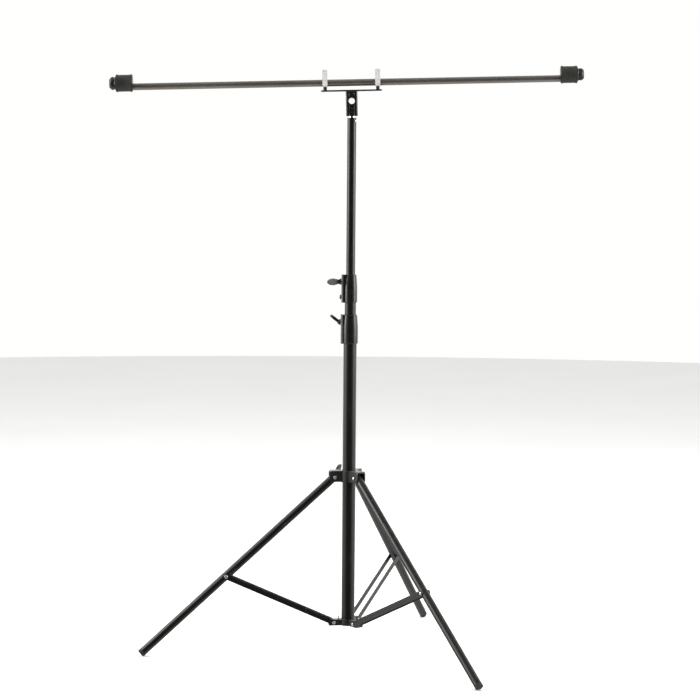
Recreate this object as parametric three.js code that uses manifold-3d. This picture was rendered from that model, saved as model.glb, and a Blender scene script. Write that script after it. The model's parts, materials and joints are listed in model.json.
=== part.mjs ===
// A folding T stand for photographic backdrops: a tripod base, a telescoping column of
// three tubes, and a T head whose U clips carry a crossbar with expanding end plugs.
//
// Millimetres, +Z up. The column's axis is Z and the floor is z = 0. The crossbar lies
// along X, and the T head's drilled front faces -Y. Everything is drawn as the stand
// is set up: legs spread, middle tube nearly closed, top tube drawn out by half.

import * as THREE from "three";
import { mergeVertices } from "three/addons/utils/BufferGeometryUtils.js";
import Module from "manifold-3d";

const wasm = await Module();
wasm.setup();

// ---- Driving dimensions ---------------------------------------------------------

// Clearances.
const GAP = 0.3; // between fixed pieces that touch
const PLAY = 0.4; // between pieces that slide or turn

// Smoothness of round pieces, in flats to a full turn.
const TUBE_FLATS = 24;
const LEG_FLATS = 20;
const SMALL_FLATS = 10;

// Tubes of the column, and the two hubs round the bottom one.
const BOTTOM_RADIUS = 17.5;
const MIDDLE_RADIUS = 15;
const TOP_RADIUS = 12;
const TUBE_WALL = 1.2;
const YOKE_RADIUS = BOTTOM_RADIUS + 6.5;
const COLLAR_RADIUS = BOTTOM_RADIUS + 4.5;

// Tripod.
const LEG_NAMES = ["back", "left", "right"];
const FIRST_LEG_ANGLE = 66.8; // degrees from +X
const LEG_STEP = 360 / LEG_NAMES.length; // degrees from one leg to the next
const LEG_SPREAD = 47.6; // degrees between an open leg and the column
const LEG_LENGTH = 695.5; // pivot to the end of the foot
const LEG_RADIUS = 11;
const LEG_WALL = 1.2;
const LEG_TOP_OVERRUN = 8; // tube above the pivot
const PIVOT_RADIUS = YOKE_RADIUS + LEG_RADIUS + 4; // column axis to a leg pivot, and to a strut pivot
const STRUT_REACH = 390.5; // leg pivot to strut rivet, along the leg
const STRUT_HALF_WIDTH = 7.2;
const STRUT_THICKNESS = 2;
const FOOT_CAP = 10; // length of foot outside the tube
const FOOT_PLUG = 20; // length of foot inside the tube
const FOOT_CHAMFER = 1.2;
const FOOT_FLAT = 0.8; // depth worn off the foot's edge where it stands

// Rivets of the folding linkage.
const RIVET_RADIUS = 2.7;
const RIVET_HOLE = 3.0;
const RIVET_HEAD = 4.4;
const RIVET_DOME = 2;

// Forms of domed heads: the heights of the rim and of the crown's edge as shares of the
// dome, and the crown as a share of the head's radius.
const RIVET_FORM = { rim: 0.35, crown: 0.6, rise: 0.85 };
const SCREW_FORM = { rim: 0.3, crown: 0.7, rise: 0.85 };

// Lower collar, fixed to the foot of the column.
const COLLAR_BASE = 76; // height above the floor
const COLLAR_HEIGHT = 16.5;
const COLLAR_PIVOT = 8.5; // strut pivot above the collar's base
const COLLAR_LUG_HALF_WIDTH = LEG_RADIUS; // a strut's strips pass both flat
const COLLAR_LUG_END = 13; // lug beyond the pivot
const COLLAR_LUG_CHAMFER = 4;
const COLLAR_STUD = { radius: 1.3, proud: 9, depth: 8, reach: 25.2 }; // in the left lug

// Yoke, which slides on the bottom tube and carries the legs.
const YOKE_BELOW_PIVOT = 12;
const YOKE_SKIRT = 1.5; // hub below the lugs
const YOKE_ROOF_CLEAR = LEG_RADIUS + 3.3; // pivot to the underside of a lug's roof
const YOKE_ROOF = 3;
const YOKE_CHEEK = 3.2;
const YOKE_LUG_END = 13.9; // lug beyond the pivot
const YOKE_LUG_ROUND = 6;
const YOKE_BOSS_ANGLE = 145; // degrees from +X
const YOKE_BOSS_END = YOKE_RADIUS + 17; // column axis to the face of the lock screw's boss
const YOKE_BOSS_RADIUS = 8;

// Column tubes.
const BOTTOM_LENGTH = 802.7;
const MIDDLE_LENGTH = 812;
const TOP_LENGTH = 790;
const MIDDLE_DRAWN = 32; // middle tube showing between the two clamps
const TOP_DRAWN = 413; // top tube showing above the upper clamp
const BUSH_LENGTH = 22; // plug of a guide bush inside its tube
const BUSH_FLANGE = 6;
const BUSH_BORE = 8;
const END_CAP_FLANGE = 3;
const END_CAP_PLUG = 16;

// Clamps on the tops of the bottom and the middle tube. grip is the length on the outer
// tube, screw and rivet are heights above the clamp's base.
const LOWER_CLAMP = {
  height: 77,
  grip: 51,
  foot: BOTTOM_RADIUS + 3.3,
  lip: MIDDLE_RADIUS + 3.4,
  boss: BOTTOM_RADIUS + 7.5,
  screw: 57,
};
const UPPER_CLAMP = {
  height: 74,
  grip: 45,
  foot: MIDDLE_RADIUS + 3,
  lip: TOP_RADIUS + 3.6,
  boss: MIDDLE_RADIUS + 9,
  screw: 55,
};
const CLAMP_WAIST = 0.55; // share of the clamp's height below its taper
const CLAMP_CHAMFER = 1.5;
const CLAMP_BOSS_HALF_WIDTH = 12;
const CLAMP_BOSS_CHAMFER = 3;
const FIXING_SCREW_HEIGHT = 14.5; // above the clamp's base
const FIXING_SCREW_RADIUS = 2.5;
const FIXING_HEAD = { radius: 6.8, dome: 4.8 };
const BACK_FIXING_HEAD = { radius: 4, dome: 2.5 };
const COLLAR_SCREW_RADIUS = 2.2;

// Wing screws: a threaded shank, a flared hub and one leaf. lean is the leaf's angle from
// the screw's axis.
const WING_SHANK = 3;
const WING_HUB = { radius: 8.6, rim: 2, neck: 5, length: 8 };
const LOWER_LEAF = { length: 29, width: 16, thickness: 8, lean: 38 };
const UPPER_LEAF = { length: 41, width: 18, thickness: 7, lean: 40 };
const YOKE_LEAF = { length: 42, width: 14, thickness: 6, lean: 82 };
const HEAD_LEAF = { length: 24, width: 14, thickness: 5, lean: 50 };
// Shares of a leaf's length, then of its half width, then of its thickness.
const LEAF_WAIST = 0.2;
const LEAF_WIDEST = 0.55;
const LEAF_SHOULDER = 0.85;
const LEAF_ROOT = 0.6;
const LEAF_TIP = 0.25;
const LEAF_THIN = 0.42;
const PAD_THICKNESS = 2.4;
const UPPER_WING_TURN = -90; // degrees about the screw's axis, 0 with the leaf upwards
const LOWER_WING_TURN = 4;
const YOKE_WING_TURN = 54;
const HEAD_WING_TURN = 180;

// Spigot on the top tube, and its rivet.
const SPIGOT_RADIUS = 8;
const SPIGOT_PLUG = 40;
const SPIGOT_NECK = 4; // showing between the top tube and the socket
const SPIGOT_ENGAGED = 27.5; // inside the socket
const SPIGOT_GROOVE = { width: 6, depth: 1 };
const SPIGOT_CHAMFER = 1;
const SPIGOT_RIVET = { radius: 2, head: 4, dome: 2, below: 9, angle: -32, depth: 7 };

// T head. It leans by the play of its socket on the spigot.
const HEAD_LEAN = 1.57; // degrees, +X end upwards
const SOCKET_WIDTH = 31;
const SOCKET_FLAT = 26; // width of each of its four faces, between chamfered corners
const SOCKET_HEIGHT = 64.4;
const SOCKET_BORE = 8.8;
const SOCKET_BORE_DEPTH = 29;
const SOCKET_RIB = { apart: 13, width: 1.6, proud: 1, height: 21 }; // an H on its front
const CROSS_HOLE = { radius: 8.1, height: 39.4 };
const LOCK_SCREW_HEIGHT = 15; // above the socket's base
const PLATE = { length: 160, width: 30, thickness: 4, corner: 3 };

// U clips and what they stand on.
const BAR_RADIUS = 9; // of the crossbar, which the clips hold
const CLIP_PITCH = 138.5;
const CLIP_WIDTH = 13;
const CLIP_THICKNESS = 1.2;
const CLIP_FLAT = BAR_RADIUS - 5; // half width of the flat under the bar
const CLIP_CORNER = 6; // bend radius, to the middle of the strip
const CLIP_SHOULDER = 2; // top of the upright side, above the bar's axis
const CLIP_THROAT = { half: BAR_RADIUS - 1.6, height: BAR_RADIUS - 1 }; // above the bar's axis
const CLIP_TIP = { half: BAR_RADIUS + 1.5, height: BAR_RADIUS + 26 };
const SPACER = { radius: 5, height: 7.7 };
const CLIP_RIVET = { radius: 2.5, head: 3.8, hole: 2.8 };

// Crossbar and its end plugs.
const BAR_WALL = 1;
const BAR_LENGTH = 1174;
const BAR_OFFSET = -12.5; // bar's middle from the T head's middle
const SLEEVE = { length: 40.5, radius: 22, wall: 1.5, beyondBar: 17.2 };
const SLEEVE_RIM = { radius: 23.6, width: 1, taper: 4.6 }; // at both ends of a sleeve
const PLUG_LIFT = SLEEVE.radius - BAR_RADIUS - 3.1; // plug's axis above the bar's
const CORE = { lip: 1.5, recess: 1, thread: 14 };
const FLANGE = { radius: 21.5, rim: 1.4, neck: 15.3, length: 7.2 };
const KNOB = { length: 11, radius: 16.2, lobe: 1.1, lobes: 6, face: 11.5, chamfer: 7.5 };
const KNOB_FLATS = 6; // to each lobe
const KNOB_TURNS = { left: 0, right: 30 }; // degrees, 0 with a lobe uppermost
const STUD = { radius: 3, length: 18 };
const STUD_HOLE = 3.4;

// ---- Heights and angles that follow ---------------------------------------------

const radians = THREE.MathUtils.degToRad;
const spread = radians(LEG_SPREAD);

const footRadius = LEG_RADIUS;
const yokePivotHeight =
  LEG_LENGTH * Math.cos(spread) + (footRadius - FOOT_CHAMFER) * Math.sin(spread) - FOOT_FLAT;
const collarPivotHeight = COLLAR_BASE + COLLAR_PIVOT;
const strutRun = STRUT_REACH * Math.sin(spread);
const strutRise = yokePivotHeight - STRUT_REACH * Math.cos(spread) - collarPivotHeight;
const strutLength = Math.hypot(strutRun, strutRise);
const strutSlope = Math.atan2(strutRise, strutRun);
const strutInside = LEG_RADIUS + PLAY;

const bottomTubeBase = COLLAR_BASE + END_CAP_FLANGE + GAP;
const bottomTubeTop = bottomTubeBase + BOTTOM_LENGTH;
const lowerClampBase = bottomTubeTop - LOWER_CLAMP.grip;
const lowerClampTop = lowerClampBase + LOWER_CLAMP.height;
const upperClampBase = lowerClampTop + MIDDLE_DRAWN;
const upperClampTop = upperClampBase + UPPER_CLAMP.height;
const middleTubeTop = upperClampBase + UPPER_CLAMP.grip;
const middleTubeBase = middleTubeTop - MIDDLE_LENGTH;
const topTubeTop = upperClampTop + TOP_DRAWN;
const topTubeBase = topTubeTop - TOP_LENGTH;

const socketBase = topTubeTop + SPIGOT_NECK;
const headOrigin = socketBase + SPIGOT_ENGAGED / 2; // the head leans about this point
const socketTop = socketBase + SOCKET_HEIGHT;
const plateBase = socketTop + GAP;
const spacerBase = plateBase + PLATE.thickness + GAP;
const clipBase = spacerBase + SPACER.height + GAP;
const barHeight = clipBase + CLIP_THICKNESS + PLAY + BAR_RADIUS;

// ---- Solids ---------------------------------------------------------------------

function solidFrom(geometry) {
  const bare = geometry.index ? geometry.toNonIndexed() : geometry.clone();
  bare.deleteAttribute("normal");
  bare.deleteAttribute("uv");
  const merged = mergeVertices(bare, 1e-4);
  return new wasm.Manifold(
    new wasm.Mesh({
      numProp: 3,
      vertProperties: merged.attributes.position.array,
      triVerts: new Uint32Array(merged.index.array),
    }),
  );
}

function geometryFrom(solid) {
  const mesh = solid.getMesh();
  const indexed = new THREE.BufferGeometry();
  indexed.setAttribute("position", new THREE.BufferAttribute(mesh.vertProperties, 3));
  indexed.setIndex(new THREE.BufferAttribute(mesh.triVerts, 1));
  const geometry = indexed.toNonIndexed();
  geometry.computeVertexNormals();
  return geometry;
}

function joined(...geometries) {
  return geometryFrom(geometries.map(solidFrom).reduce((all, one) => all.add(one)));
}

// What is left of geometry. Tools reach a millimetre or more past the faces they cut.
function cut(geometry, ...tools) {
  const start = solidFrom(geometry);
  return geometryFrom(tools.map(solidFrom).reduce((rest, tool) => rest.subtract(tool), start));
}

// A shape turned about Z from [radius, height] pairs that run up its outside.
function turned(profile, flats) {
  const points = profile.map(([radius, height]) => new THREE.Vector2(radius, height));
  return new THREE.LatheGeometry(points, flats).rotateX(Math.PI / 2);
}

function rod(radius, from, to, flats) {
  return turned([[0, from], [radius, from], [radius, to], [0, to]], flats);
}

function tube(outer, inner, from, to, flats) {
  const profile = [[inner, from], [outer, from], [outer, to], [inner, to], [inner, from]];
  return turned(profile, flats);
}

const alongX = (geometry) => geometry.rotateY(Math.PI / 2); // +Z turns to +X
const alongY = (geometry) => geometry.rotateX(-Math.PI / 2); // +Z turns to +Y

function box(from, to) {
  const size = to.map((high, axis) => high - from[axis]);
  const middle = to.map((high, axis) => (high + from[axis]) / 2);
  return new THREE.BoxGeometry(...size).translate(...middle);
}

// An outline in X and Z, thickened equally to both sides of y = 0.
function slabXZ(shape, width, curveSegments = 6) {
  const options = { depth: width, bevelEnabled: false, curveSegments };
  return new THREE.ExtrudeGeometry(shape, options)
    .translate(0, 0, -width / 2)
    .rotateX(Math.PI / 2);
}

// A rectangle with its four corners rounded.
function roundedRectangle(left, bottom, right, top, radius) {
  const shape = new THREE.Shape();
  shape.absarc(right - radius, bottom + radius, radius, -Math.PI / 2, 0);
  shape.absarc(right - radius, top - radius, radius, 0, Math.PI / 2);
  shape.absarc(left + radius, top - radius, radius, Math.PI / 2, Math.PI);
  shape.absarc(left + radius, bottom + radius, radius, Math.PI, 1.5 * Math.PI);
  return shape;
}

// ---- Finishes -------------------------------------------------------------------

const BLACK_PAINT = { color: 0x1e1e1b, roughness: 0.42, metalness: 0.3 };
const BROWN_BLACK = { color: 0x37322d, roughness: 0.35, metalness: 0.4 };
const BLACK_CASTING = { color: 0x2a2a27, roughness: 0.6, metalness: 0.1 };
const BLACK_PLASTIC = { color: 0x191917, roughness: 0.5, metalness: 0 };
const RUBBER = { color: 0x30302d, roughness: 0.85, metalness: 0 };
const BRIGHT_STEEL = { color: 0xd9d9d6, roughness: 0.25, metalness: 1 };
const BRASS = { color: 0xb08d4a, roughness: 0.35, metalness: 1 };

function addPiece(parent, name, geometry, finish) {
  const mesh = new THREE.Mesh(geometry, new THREE.MeshStandardMaterial(finish));
  mesh.name = name;
  parent.add(mesh);
  return mesh;
}

function addGroup(parent, { x = 0, z = 0, turnY = 0, turnZ = 0 }) {
  const group = new THREE.Group();
  group.position.set(x, 0, z);
  group.rotation.set(0, radians(turnY), radians(turnZ));
  parent.add(group);
  return group;
}

// ---- Fasteners ------------------------------------------------------------------

// The outline of a domed head, from its seat to its top.
function domeOutline(radius, dome, seat, form) {
  return [
    [radius, seat],
    [radius, seat + dome * form.rim],
    [radius * form.crown, seat + dome * form.rise],
    [0, seat + dome],
  ];
}

// A rivet along Y with a dome on each end. span is the length between its heads.
function rivet(span) {
  const half = span / 2;
  const head = domeOutline(RIVET_HEAD, RIVET_DOME, half, RIVET_FORM);
  const otherHead = head.map(([radius, height]) => [radius, -height]).reverse();
  const shank = [[RIVET_RADIUS, -half], [RIVET_RADIUS, half]];
  return alongY(turned([...otherHead, ...shank, ...head], SMALL_FLATS));
}

// A domed screw along X: its shank starts at tip and its head sits at seat.
function domedScrew(tip, seat, radius, head) {
  const shank = [[0, tip], [radius, tip], [radius, seat]];
  const outline = domeOutline(head.radius, head.dome, seat, SCREW_FORM);
  return alongX(turned([...shank, ...outline], SMALL_FLATS));
}

// A pointed leaf along X, widest past its middle and thinner towards its tip.
function leafBlade({ length, width, thickness }) {
  const half = width / 2;
  const plan = new THREE.Shape();
  plan.moveTo(0, -half * LEAF_ROOT);
  plan.quadraticCurveTo(length * LEAF_WAIST, -half * LEAF_ROOT, length * LEAF_WIDEST, -half);
  plan.quadraticCurveTo(length * LEAF_SHOULDER, -half, length, -half * LEAF_TIP);
  plan.lineTo(length, half * LEAF_TIP);
  plan.quadraticCurveTo(length * LEAF_SHOULDER, half, length * LEAF_WIDEST, half);
  plan.quadraticCurveTo(length * LEAF_WAIST, half * LEAF_ROOT, 0, half * LEAF_ROOT);
  const blank = new THREE.ExtrudeGeometry(plan, {
    depth: thickness,
    bevelEnabled: false,
    curveSegments: 4,
  }).translate(0, 0, -thickness / 2);
  const start = -1;
  const end = length + 1;
  const side = new THREE.Shape();
  side.moveTo(start, -thickness / 2);
  side.lineTo(length * LEAF_WIDEST, -thickness / 2);
  side.lineTo(end, -thickness * LEAF_THIN);
  side.lineTo(end, thickness * LEAF_THIN);
  side.lineTo(length * LEAF_WIDEST, thickness / 2);
  side.lineTo(start, thickness / 2);
  const taper = slabXZ(side, width + 2);
  return geometryFrom(solidFrom(blank).intersect(solidFrom(taper)));
}

// A wing screw along X: tip of the shank, seat of the hub, and the leaf's turn about X.
function wingScrew(tip, seat, turn, leaf) {
  const hubEnd = seat + WING_HUB.length;
  const stem = alongX(
    turned(
      [
        [0, tip],
        [WING_SHANK, tip],
        [WING_SHANK, seat],
        [WING_HUB.radius, seat],
        [WING_HUB.radius, seat + WING_HUB.rim],
        [WING_HUB.neck, hubEnd],
        [0, hubEnd],
      ],
      SMALL_FLATS,
    ),
  );
  const blade = leafBlade(leaf);
  blade.rotateY(-radians(leaf.lean));
  blade.translate(seat + WING_HUB.length / 2, 0, 0);
  return joined(stem, blade).rotateX(radians(turn));
}

// ---- Lower collar ---------------------------------------------------------------

const legAngles = LEG_NAMES.map((_, index) => radians(FIRST_LEG_ANGLE + LEG_STEP * index));
const betweenLegs = FIRST_LEG_ANGLE + LEG_STEP / 2; // degrees, where the collar's screw sits

// A hole along Y, centred on y = 0.
function holeY(radius, span) {
  return alongY(rod(radius, -span / 2, span / 2, SMALL_FLATS));
}

function lowerCollar() {
  const top = COLLAR_BASE + COLLAR_HEIGHT;
  const end = PIVOT_RADIUS + COLLAR_LUG_END;
  const outline = new THREE.Shape();
  outline.moveTo(BOTTOM_RADIUS, COLLAR_BASE);
  outline.lineTo(end, COLLAR_BASE);
  outline.lineTo(end, top - COLLAR_LUG_CHAMFER);
  outline.lineTo(end - COLLAR_LUG_CHAMFER, top);
  outline.lineTo(BOTTOM_RADIUS, top);
  const hub = rod(COLLAR_RADIUS, COLLAR_BASE, top, TUBE_FLATS);
  const width = 2 * COLLAR_LUG_HALF_WIDTH;
  const lugs = legAngles.map((angle) => slabXZ(outline, width).rotateZ(angle));
  const pivotHoles = legAngles.map((angle) =>
    holeY(RIVET_HOLE, width + 2)
      .translate(PIVOT_RADIUS, 0, collarPivotHeight)
      .rotateZ(angle),
  );
  const bore = rod(BOTTOM_RADIUS + GAP, COLLAR_BASE - 1, top + 1, TUBE_FLATS);
  const studHole = collarStud(COLLAR_STUD.radius + GAP, GAP);
  return cut(joined(hub, ...lugs), bore, ...pivotHoles, collarScrewHole(), studHole);
}

// The stud stands in the left leg's lug. sunk is how much deeper its hole goes.
function collarStud(radius, sunk = 0) {
  const top = COLLAR_BASE + COLLAR_HEIGHT;
  return rod(radius, top - COLLAR_STUD.depth - sunk, top + COLLAR_STUD.proud, SMALL_FLATS)
    .translate(COLLAR_STUD.reach, 0, 0)
    .rotateZ(legAngles[LEG_NAMES.indexOf("left")]);
}

// The screw that fixes the lower collar goes through the bottom tube's wall.
function collarScrewHole() {
  return alongX(rod(COLLAR_SCREW_RADIUS + GAP, 0, PIVOT_RADIUS, SMALL_FLATS))
    .translate(0, 0, collarPivotHeight)
    .rotateZ(radians(betweenLegs));
}

function collarScrew() {
  const tip = BOTTOM_RADIUS - TUBE_WALL;
  return domedScrew(tip, COLLAR_RADIUS + GAP, COLLAR_SCREW_RADIUS, BACK_FIXING_HEAD)
    .translate(0, 0, collarPivotHeight)
    .rotateZ(radians(betweenLegs));
}

// A moulded cap under the bottom tube, with a plug inside it.
function columnEndCap() {
  const flangeTop = COLLAR_BASE + END_CAP_FLANGE;
  const plugRadius = BOTTOM_RADIUS - TUBE_WALL - GAP;
  const plugTop = flangeTop + GAP + END_CAP_PLUG;
  const plug = turned(
    [
      [0, COLLAR_BASE],
      [BOTTOM_RADIUS, COLLAR_BASE],
      [BOTTOM_RADIUS, flangeTop],
      [plugRadius, flangeTop],
      [plugRadius, plugTop],
      [0, plugTop],
    ],
    TUBE_FLATS,
  );
  return cut(plug, collarScrewHole());
}

// ---- Telescoping column ---------------------------------------------------------

// A column tube, with the holes that its screws and rivets need.
function columnTube(radius, from, to, ...holes) {
  return cut(tube(radius, radius - TUBE_WALL, from, to, TUBE_FLATS), ...holes);
}

// A guide bush in the foot of a sliding tube. Its flange runs in the tube outside.
function guideBush(innerRadius, outerRadius, tubeBase) {
  const plug = innerRadius - TUBE_WALL - GAP;
  const flange = outerRadius - TUBE_WALL - PLAY;
  const shoulder = tubeBase - GAP;
  return turned(
    [
      [BUSH_BORE, shoulder - BUSH_FLANGE],
      [flange, shoulder - BUSH_FLANGE],
      [flange, shoulder],
      [plug, shoulder],
      [plug, shoulder + BUSH_LENGTH],
      [BUSH_BORE, shoulder + BUSH_LENGTH],
      [BUSH_BORE, shoulder - BUSH_FLANGE],
    ],
    TUBE_FLATS,
  );
}

// A clamp on the top of outer, in whose throat inner slides. Its boss points to -X.
function clamp(size, base, outer, inner, fixingHole) {
  const top = base + size.height;
  const step = base + size.grip + GAP;
  const waist = base + size.height * CLAMP_WAIST;
  const body = turned(
    [
      [0, base],
      [size.foot - CLAMP_CHAMFER, base],
      [size.foot, base + CLAMP_CHAMFER],
      [size.foot, waist],
      [size.lip, top - CLAMP_CHAMFER],
      [size.lip - CLAMP_CHAMFER, top],
      [0, top],
    ],
    TUBE_FLATS,
  );
  const half = CLAMP_BOSS_HALF_WIDTH;
  const plan = new THREE.Shape();
  plan.moveTo(0, -half);
  plan.lineTo(0, half);
  plan.lineTo(CLAMP_BOSS_CHAMFER - size.boss, half);
  plan.lineTo(-size.boss, half - CLAMP_BOSS_CHAMFER);
  plan.lineTo(-size.boss, CLAMP_BOSS_CHAMFER - half);
  plan.lineTo(CLAMP_BOSS_CHAMFER - size.boss, -half);
  const boss = new THREE.ExtrudeGeometry(plan, { depth: size.height, bevelEnabled: false });
  boss.translate(0, 0, base);
  const throat = rod(inner + PLAY, base, top + 1, TUBE_FLATS);
  const socket = rod(outer + GAP, base - 1, step, TUBE_FLATS);
  const screwHole = alongX(rod(WING_SHANK + GAP, 0, size.boss + 1, SMALL_FLATS));
  screwHole.rotateZ(Math.PI).translate(0, 0, base + size.screw);
  return cut(joined(body, boss), throat, socket, screwHole, fixingHole);
}

// The hole of a clamp's fixing screw, at an angle about Z in degrees.
function fixingHole(base, angle) {
  return alongX(rod(FIXING_SCREW_RADIUS + GAP, 0, LOWER_CLAMP.boss + 5, SMALL_FLATS))
    .translate(0, 0, base + FIXING_SCREW_HEIGHT)
    .rotateZ(radians(angle));
}

function fixingScrew(base, angle, outer, seat, head) {
  return domedScrew(outer - TUBE_WALL + GAP, seat + GAP, FIXING_SCREW_RADIUS, head)
    .translate(0, 0, base + FIXING_SCREW_HEIGHT)
    .rotateZ(radians(angle));
}

// The wing screw of a clamp and the brass pad that it presses on the inner tube.
function addClampScrew(parent, side, size, base, inner, turn, leaf) {
  const group = addGroup(parent, { z: base + size.screw, turnZ: 180 });
  const padStart = inner + PLAY;
  const padEnd = padStart + PAD_THICKNESS;
  const pad = alongX(rod(WING_SHANK, padStart, padEnd, SMALL_FLATS));
  const screw = wingScrew(padEnd + GAP, size.boss + GAP, turn, leaf);
  addPiece(group, `${side}_clamp_pad`, pad, BRASS);
  addPiece(group, `${side}_clamp_wing_screw`, screw, BLACK_PLASTIC);
}

function addColumn(parent) {
  const lowerHole = fixingHole(lowerClampBase, 90);
  const upperHole = fixingHole(upperClampBase, 180);
  const rivetHole = spigotRivetHole();
  const bottom = columnTube(
    BOTTOM_RADIUS, bottomTubeBase, bottomTubeTop, lowerHole, collarScrewHole());
  const middle = columnTube(MIDDLE_RADIUS, middleTubeBase, middleTubeTop, upperHole);
  const top = columnTube(TOP_RADIUS, topTubeBase, topTubeTop, rivetHole);
  addPiece(parent, "bottom_tube", bottom, BLACK_PAINT);
  addPiece(parent, "middle_tube", middle, BLACK_PAINT);
  addPiece(parent, "top_tube", top, BLACK_PAINT);

  addPiece(parent, "column_end_cap", columnEndCap(), BLACK_PLASTIC);
  addPiece(parent, "lower_collar", lowerCollar(), BLACK_CASTING);
  addPiece(parent, "lower_collar_screw", collarScrew(), BRIGHT_STEEL);
  addPiece(parent, "lower_collar_stud", collarStud(COLLAR_STUD.radius), BLACK_PAINT);

  const middleBush = guideBush(MIDDLE_RADIUS, BOTTOM_RADIUS, middleTubeBase);
  const topBush = guideBush(TOP_RADIUS, MIDDLE_RADIUS, topTubeBase);
  addPiece(parent, "middle_tube_bush", middleBush, BLACK_PLASTIC);
  addPiece(parent, "top_tube_bush", topBush, BLACK_PLASTIC);

  const lower = clamp(LOWER_CLAMP, lowerClampBase, BOTTOM_RADIUS, MIDDLE_RADIUS, lowerHole);
  const upper = clamp(UPPER_CLAMP, upperClampBase, MIDDLE_RADIUS, TOP_RADIUS, upperHole);
  addPiece(parent, "lower_clamp", lower, BLACK_CASTING);
  addPiece(parent, "upper_clamp", upper, BLACK_CASTING);
  addClampScrew(
    parent, "lower", LOWER_CLAMP, lowerClampBase, MIDDLE_RADIUS, LOWER_WING_TURN, LOWER_LEAF);
  addClampScrew(
    parent, "upper", UPPER_CLAMP, upperClampBase, TOP_RADIUS, UPPER_WING_TURN, UPPER_LEAF);

  const lowerScrew = fixingScrew(
    lowerClampBase, 90, BOTTOM_RADIUS, LOWER_CLAMP.foot, BACK_FIXING_HEAD);
  const upperScrew = fixingScrew(
    upperClampBase, 180, MIDDLE_RADIUS, UPPER_CLAMP.boss, FIXING_HEAD);
  addPiece(parent, "lower_clamp_fixing_screw", lowerScrew, BLACK_PAINT);
  addPiece(parent, "upper_clamp_fixing_screw", upperScrew, BLACK_PAINT);
}

// ---- Spigot ---------------------------------------------------------------------

// The polished spigot has a groove that the socket's lock screw finds.
function spigot() {
  const plug = TOP_RADIUS - TUBE_WALL - GAP;
  const tip = socketBase + SPIGOT_ENGAGED;
  const groove = socketBase + LOCK_SCREW_HEIGHT;
  const half = SPIGOT_GROOVE.width / 2;
  const body = turned(
    [
      [0, topTubeTop - SPIGOT_PLUG],
      [plug, topTubeTop - SPIGOT_PLUG],
      [plug, topTubeTop],
      [SPIGOT_RADIUS, topTubeTop],
      [SPIGOT_RADIUS, groove - half],
      [SPIGOT_RADIUS - SPIGOT_GROOVE.depth, groove],
      [SPIGOT_RADIUS, groove + half],
      [SPIGOT_RADIUS, tip - SPIGOT_CHAMFER],
      [SPIGOT_RADIUS - SPIGOT_CHAMFER, tip],
      [0, tip],
    ],
    LEG_FLATS,
  );
  return cut(body, spigotRivetHole());
}

function spigotRivetHole() {
  const from = TOP_RADIUS - SPIGOT_RIVET.depth - GAP;
  return alongX(rod(SPIGOT_RIVET.radius + GAP, from, TOP_RADIUS + 1, SMALL_FLATS))
    .translate(0, 0, topTubeTop - SPIGOT_RIVET.below)
    .rotateZ(radians(SPIGOT_RIVET.angle));
}

function spigotRivet() {
  const head = { radius: SPIGOT_RIVET.head, dome: SPIGOT_RIVET.dome };
  const tip = TOP_RADIUS - SPIGOT_RIVET.depth;
  return domedScrew(tip, TOP_RADIUS + GAP, SPIGOT_RIVET.radius, head)
    .translate(0, 0, topTubeTop - SPIGOT_RIVET.below)
    .rotateZ(radians(SPIGOT_RIVET.angle));
}

// ---- Yoke -----------------------------------------------------------------------

// Three roofed lugs around a hub. Each leg hangs between the cheeks of its lug.
function yoke() {
  const base = yokePivotHeight - YOKE_BELOW_PIVOT;
  const roof = yokePivotHeight + YOKE_ROOF_CLEAR;
  const top = roof + YOKE_ROOF;
  const end = PIVOT_RADIUS + YOKE_LUG_END;
  const inside = LEG_RADIUS + PLAY;
  const width = 2 * (inside + YOKE_CHEEK);
  const hub = rod(YOKE_RADIUS, base - YOKE_SKIRT, top, TUBE_FLATS);
  const boss = alongX(rod(YOKE_BOSS_RADIUS, BOTTOM_RADIUS, YOKE_BOSS_END, SMALL_FLATS))
    .translate(0, 0, yokePivotHeight)
    .rotateZ(radians(YOKE_BOSS_ANGLE));
  const outline = roundedRectangle(0, base, end, top, YOKE_LUG_ROUND);
  const lugs = legAngles.map((angle) => slabXZ(outline, width).rotateZ(angle));
  const channels = legAngles.map((angle) =>
    box([YOKE_RADIUS + GAP, -inside, base - 1], [end + 1, inside, roof]).rotateZ(angle),
  );
  const pivotHoles = legAngles.map((angle) =>
    holeY(RIVET_HOLE, width + 2)
      .translate(PIVOT_RADIUS, 0, yokePivotHeight)
      .rotateZ(angle),
  );
  const bore = rod(BOTTOM_RADIUS + PLAY, base - YOKE_SKIRT - 1, top + 1, TUBE_FLATS);
  const screwHole = alongX(rod(WING_SHANK + GAP, 0, YOKE_BOSS_END + 1, SMALL_FLATS))
    .translate(0, 0, yokePivotHeight)
    .rotateZ(radians(YOKE_BOSS_ANGLE));
  return cut(joined(hub, boss, ...lugs), bore, ...channels, ...pivotHoles, screwHole);
}

function addYoke(parent) {
  addPiece(parent, "yoke", yoke(), BLACK_CASTING);
  const group = addGroup(parent, { z: yokePivotHeight, turnZ: YOKE_BOSS_ANGLE });
  const tip = BOTTOM_RADIUS + PLAY;
  const screw = wingScrew(tip, YOKE_BOSS_END + GAP, YOKE_WING_TURN, YOKE_LEAF);
  addPiece(group, "yoke_wing_screw", screw, BLACK_PLASTIC);
}

// ---- Legs and struts ------------------------------------------------------------

// In a leg's own group the pivot is the origin and the leg hangs along -Z.
function legTube() {
  const foot = FOOT_CAP - LEG_LENGTH;
  const shell = tube(LEG_RADIUS, LEG_RADIUS - LEG_WALL, foot, LEG_TOP_OVERRUN, LEG_FLATS);
  const pivotHole = holeY(RIVET_HOLE, 3 * LEG_RADIUS);
  const strutHole = holeY(RIVET_HOLE, 3 * LEG_RADIUS).translate(0, 0, -STRUT_REACH);
  return cut(shell, pivotHole, strutHole);
}

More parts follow.
